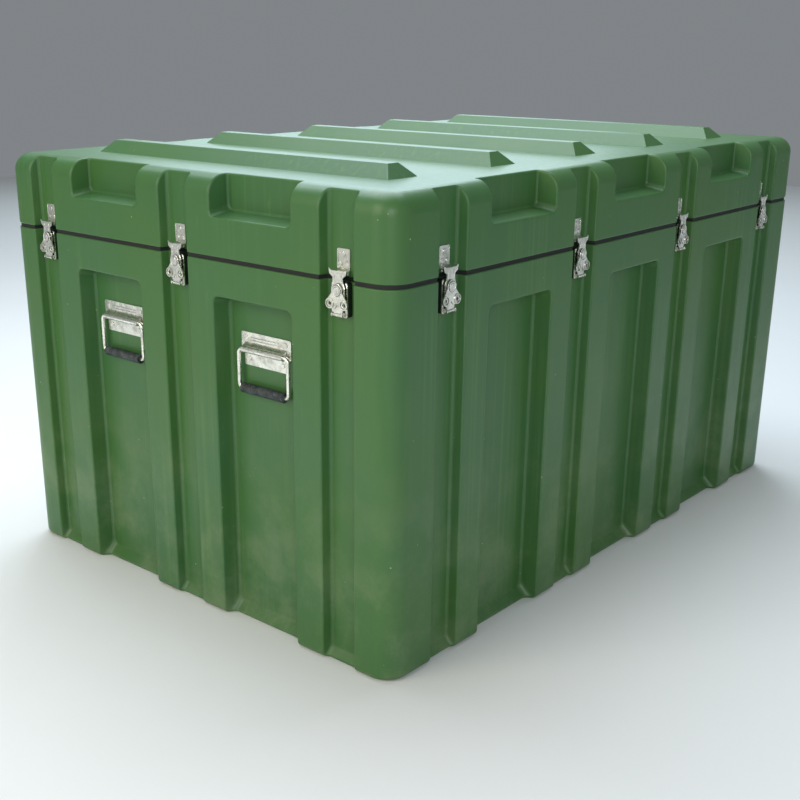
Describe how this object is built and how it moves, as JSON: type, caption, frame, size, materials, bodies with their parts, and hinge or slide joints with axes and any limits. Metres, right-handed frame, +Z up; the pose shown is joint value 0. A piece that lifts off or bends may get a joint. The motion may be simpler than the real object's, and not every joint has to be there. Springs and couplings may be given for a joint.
{
  "type": "hard equipment case",
  "caption": "Large rotomoulded case with a lift-off ribbed lid held by butterfly twist latches, and folding bail handles in recessed end panels.",
  "frame": {"origin": "middle of the flat base, on the surface the case stands on", "axes": "+X along the long sides, +Y across the case towards the back face, +Z up through the lid"},
  "size_m": [1.53, 1.05, 0.87],
  "materials": {
    "green_shell": "rotomoulded, semi-matt olive green",
    "gasket_rubber": "black foam rubber",
    "block_plastic": "black moulded plastic",
    "grip_rubber": "black ribbed rubber",
    "latch_steel": "bright zinc plate",
    "washer_steel": "dull zinc plate",
    "handle_steel": "bright zinc plate"
  },
  "bodies": {
    "base": {"base_shell": "green_shell", "lid_gasket": "gasket_rubber", "latch_blocks": "block_plastic", "latch_plates": "latch_steel", "latch_pins": "latch_steel", "latch_rivets": "latch_steel", "latch_washers": "washer_steel", "handle_plates": "handle_steel", "handle_rivets": "handle_steel", "handle_washers": "washer_steel"},
    "lid": {"lid_shell": "green_shell", "keepers": "latch_steel", "keeper_rivets": "latch_steel", "keeper_washers": "washer_steel"},
    "hook_front_1": {"hook_front_1": "latch_steel"},
    "wing_front_1": {"wing_front_1": "latch_steel"},
    "hook_front_2": {"hook_front_2": "latch_steel"},
    "wing_front_2": {"wing_front_2": "latch_steel"},
    "hook_front_3": {"hook_front_3": "latch_steel"},
    "wing_front_3": {"wing_front_3": "latch_steel"},
    "hook_front_4": {"hook_front_4": "latch_steel"},
    "wing_front_4": {"wing_front_4": "latch_steel"},
    "hook_back_1": {"hook_back_1": "latch_steel"},
    "wing_back_1": {"wing_back_1": "latch_steel"},
    "hook_back_2": {"hook_back_2": "latch_steel"},
    "wing_back_2": {"wing_back_2": "latch_steel"},
    "hook_back_3": {"hook_back_3": "latch_steel"},
    "wing_back_3": {"wing_back_3": "latch_steel"},
    "hook_back_4": {"hook_back_4": "latch_steel"},
    "wing_back_4": {"wing_back_4": "latch_steel"},
    "hook_left_1": {"hook_left_1": "latch_steel"},
    "wing_left_1": {"wing_left_1": "latch_steel"},
    "hook_left_2": {"hook_left_2": "latch_steel"},
    "wing_left_2": {"wing_left_2": "latch_steel"},
    "hook_left_3": {"hook_left_3": "latch_steel"},
    "wing_left_3": {"wing_left_3": "latch_steel"},
    "hook_right_1": {"hook_right_1": "latch_steel"},
    "wing_right_1": {"wing_right_1": "latch_steel"},
    "hook_right_2": {"hook_right_2": "latch_steel"},
    "wing_right_2": {"wing_right_2": "latch_steel"},
    "hook_right_3": {"hook_right_3": "latch_steel"},
    "wing_right_3": {"wing_right_3": "latch_steel"},
    "handle_left_1": {"bail_left_1": "handle_steel", "grip_left_1": "grip_rubber"},
    "handle_left_2": {"bail_left_2": "handle_steel", "grip_left_2": "grip_rubber"},
    "handle_right_1": {"bail_right_1": "handle_steel", "grip_right_1": "grip_rubber"},
    "handle_right_2": {"bail_right_2": "handle_steel", "grip_right_2": "grip_rubber"}
  },
  "joints": [
    {"name": "lid_lift", "type": "slide", "parent": "base", "child": "lid", "axis": [0, 0, 1], "range_m": [0, 0.5]},
    {"name": "hook_swing_front_1", "type": "hinge", "parent": "base", "child": "hook_front_1", "pos_m": [-0.612, -0.5196, 0.6425], "axis": [1, 0, 0], "range_deg": [-1.8, 16.2]},
    {"name": "wing_turn_front_1", "type": "hinge", "parent": "hook_front_1", "child": "wing_front_1", "pos_m": [-0.612, -0.5209, 0.683], "axis": [0, -1, 0], "range_deg": [-18, 162]},
    {"name": "hook_swing_front_2", "type": "hinge", "parent": "base", "child": "hook_front_2", "pos_m": [-0.204, -0.5196, 0.6425], "axis": [1, 0, 0], "range_deg": [-1.8, 16.2]},
    {"name": "wing_turn_front_2", "type": "hinge", "parent": "hook_front_2", "child": "wing_front_2", "pos_m": [-0.204, -0.5209, 0.683], "axis": [0, -1, 0], "range_deg": [-18, 162]},
    {"name": "hook_swing_front_3", "type": "hinge", "parent": "base", "child": "hook_front_3", "pos_m": [0.204, -0.5196, 0.6425], "axis": [1, 0, 0], "range_deg": [-1.8, 16.2]},
    {"name": "wing_turn_front_3", "type": "hinge", "parent": "hook_front_3", "child": "wing_front_3", "pos_m": [0.204, -0.5209, 0.683], "axis": [0, -1, 0], "range_deg": [-18, 162]},
    {"name": "hook_swing_front_4", "type": "hinge", "parent": "base", "child": "hook_front_4", "pos_m": [0.612, -0.5196, 0.6425], "axis": [1, 0, 0], "range_deg": [-1.8, 16.2]},
    {"name": "wing_turn_front_4", "type": "hinge", "parent": "hook_front_4", "child": "wing_front_4", "pos_m": [0.612, -0.5209, 0.683], "axis": [0, -1, 0], "range_deg": [-18, 162]},
    {"name": "hook_swing_back_1", "type": "hinge", "parent": "base", "child": "hook_back_1", "pos_m": [0.612, 0.5196, 0.6425], "axis": [-1, 0, 0], "range_deg": [-1.8, 16.2]},
    {"name": "wing_turn_back_1", "type": "hinge", "parent": "hook_back_1", "child": "wing_back_1", "pos_m": [0.612, 0.5209, 0.683], "axis": [0, 1, 0], "range_deg": [-18, 162]},
    {"name": "hook_swing_back_2", "type": "hinge", "parent": "base", "child": "hook_back_2", "pos_m": [0.204, 0.5196, 0.6425], "axis": [-1, 0, 0], "range_deg": [-1.8, 16.2]},
    {"name": "wing_turn_back_2", "type": "hinge", "parent": "hook_back_2", "child": "wing_back_2", "pos_m": [0.204, 0.5209, 0.683], "axis": [0, 1, 0], "range_deg": [-18, 162]},
    {"name": "hook_swing_back_3", "type": "hinge", "parent": "base", "child": "hook_back_3", "pos_m": [-0.204, 0.5196, 0.6425], "axis": [-1, 0, 0], "range_deg": [-1.8, 16.2]},
    {"name": "wing_turn_back_3", "type": "hinge", "parent": "hook_back_3", "child": "wing_back_3", "pos_m": [-0.204, 0.5209, 0.683], "axis": [0, 1, 0], "range_deg": [-18, 162]},
    {"name": "hook_swing_back_4", "type": "hinge", "parent": "base", "child": "hook_back_4", "pos_m": [-0.612, 0.5196, 0.6425], "axis": [-1, 0, 0], "range_deg": [-1.8, 16.2]},
    {"name": "wing_turn_back_4", "type": "hinge", "parent": "hook_back_4", "child": "wing_back_4", "pos_m": [-0.612, 0.5209, 0.683], "axis": [0, 1, 0], "range_deg": [-18, 162]},
    {"name": "hook_swing_left_1", "type": "hinge", "parent": "base", "child": "hook_left_1", "pos_m": [-0.7596, 0.404, 0.6425], "axis": [0, -1, 0], "range_deg": [-1.8, 16.2]},
    {"name": "wing_turn_left_1", "type": "hinge", "parent": "hook_left_1", "child": "wing_left_1", "pos_m": [-0.7609, 0.404, 0.683], "axis": [-1, 0, 0], "range_deg": [-18, 162]},
    {"name": "hook_swing_left_2", "type": "hinge", "parent": "base", "child": "hook_left_2", "pos_m": [-0.7596, 0, 0.6425], "axis": [0, -1, 0], "range_deg": [-1.8, 16.2]},
    {"name": "wing_turn_left_2", "type": "hinge", "parent": "hook_left_2", "child": "wing_left_2", "pos_m": [-0.7609, 0, 0.683], "axis": [-1, 0, 0], "range_deg": [-18, 162]},
    {"name": "hook_swing_left_3", "type": "hinge", "parent": "base", "child": "hook_left_3", "pos_m": [-0.7596, -0.404, 0.6425], "axis": [0, -1, 0], "range_deg": [-1.8, 16.2]},
    {"name": "wing_turn_left_3", "type": "hinge", "parent": "hook_left_3", "child": "wing_left_3", "pos_m": [-0.7609, -0.404, 0.683], "axis": [-1, 0, 0], "range_deg": [-18, 162]},
    {"name": "hook_swing_right_1", "type": "hinge", "parent": "base", "child": "hook_right_1", "pos_m": [0.7596, -0.404, 0.6425], "axis": [0, 1, 0], "range_deg": [-1.8, 16.2]},
    {"name": "wing_turn_right_1", "type": "hinge", "parent": "hook_right_1", "child": "wing_right_1", "pos_m": [0.7609, -0.404, 0.683], "axis": [1, 0, 0], "range_deg": [-18, 162]},
    {"name": "hook_swing_right_2", "type": "hinge", "parent": "base", "child": "hook_right_2", "pos_m": [0.7596, 0, 0.6425], "axis": [0, 1, 0], "range_deg": [-1.8, 16.2]},
    {"name": "wing_turn_right_2", "type": "hinge", "parent": "hook_right_2", "child": "wing_right_2", "pos_m": [0.7609, 0, 0.683], "axis": [1, 0, 0], "range_deg": [-18, 162]},
    {"name": "hook_swing_right_3", "type": "hinge", "parent": "base", "child": "hook_right_3", "pos_m": [0.7596, 0.404, 0.6425], "axis": [0, 1, 0], "range_deg": [-1.8, 16.2]},
    {"name": "wing_turn_right_3", "type": "hinge", "parent": "hook_right_3", "child": "wing_right_3", "pos_m": [0.7609, 0.404, 0.683], "axis": [1, 0, 0], "range_deg": [-18, 162]},
    {"name": "handle_swing_left_1", "type": "hinge", "parent": "base", "child": "handle_left_1", "pos_m": [-0.7385, 0.202, 0.539], "axis": [0, 1, 0], "range_deg": [0, 90]},
    {"name": "handle_swing_left_2", "type": "hinge", "parent": "base", "child": "handle_left_2", "pos_m": [-0.7385, -0.202, 0.539], "axis": [0, 1, 0], "range_deg": [0, 90]},
    {"name": "handle_swing_right_1", "type": "hinge", "parent": "base", "child": "handle_right_1", "pos_m": [0.7385, -0.202, 0.539], "axis": [0, -1, 0], "range_deg": [0, 90]},
    {"name": "handle_swing_right_2", "type": "hinge", "parent": "base", "child": "handle_right_2", "pos_m": [0.7385, 0.202, 0.539], "axis": [0, -1, 0], "range_deg": [0, 90]}
  ],
  "couplings": [
    {"joint": "hook_swing_front_1", "follows": "wing_turn_front_1", "ratio": 0.1},
    {"joint": "hook_swing_front_2", "follows": "wing_turn_front_2", "ratio": 0.1},
    {"joint": "hook_swing_front_3", "follows": "wing_turn_front_3", "ratio": 0.1},
    {"joint": "hook_swing_front_4", "follows": "wing_turn_front_4", "ratio": 0.1},
    {"joint": "hook_swing_back_1", "follows": "wing_turn_back_1", "ratio": 0.1},
    {"joint": "hook_swing_back_2", "follows": "wing_turn_back_2", "ratio": 0.1},
    {"joint": "hook_swing_back_3", "follows": "wing_turn_back_3", "ratio": 0.1},
    {"joint": "hook_swing_back_4", "follows": "wing_turn_back_4", "ratio": 0.1},
    {"joint": "hook_swing_left_1", "follows": "wing_turn_left_1", "ratio": 0.1},
    {"joint": "hook_swing_left_2", "follows": "wing_turn_left_2", "ratio": 0.1},
    {"joint": "hook_swing_left_3", "follows": "wing_turn_left_3", "ratio": 0.1},
    {"joint": "hook_swing_right_1", "follows": "wing_turn_right_1", "ratio": 0.1},
    {"joint": "hook_swing_right_2", "follows": "wing_turn_right_2", "ratio": 0.1},
    {"joint": "hook_swing_right_3", "follows": "wing_turn_right_3", "ratio": 0.1}
  ]
}
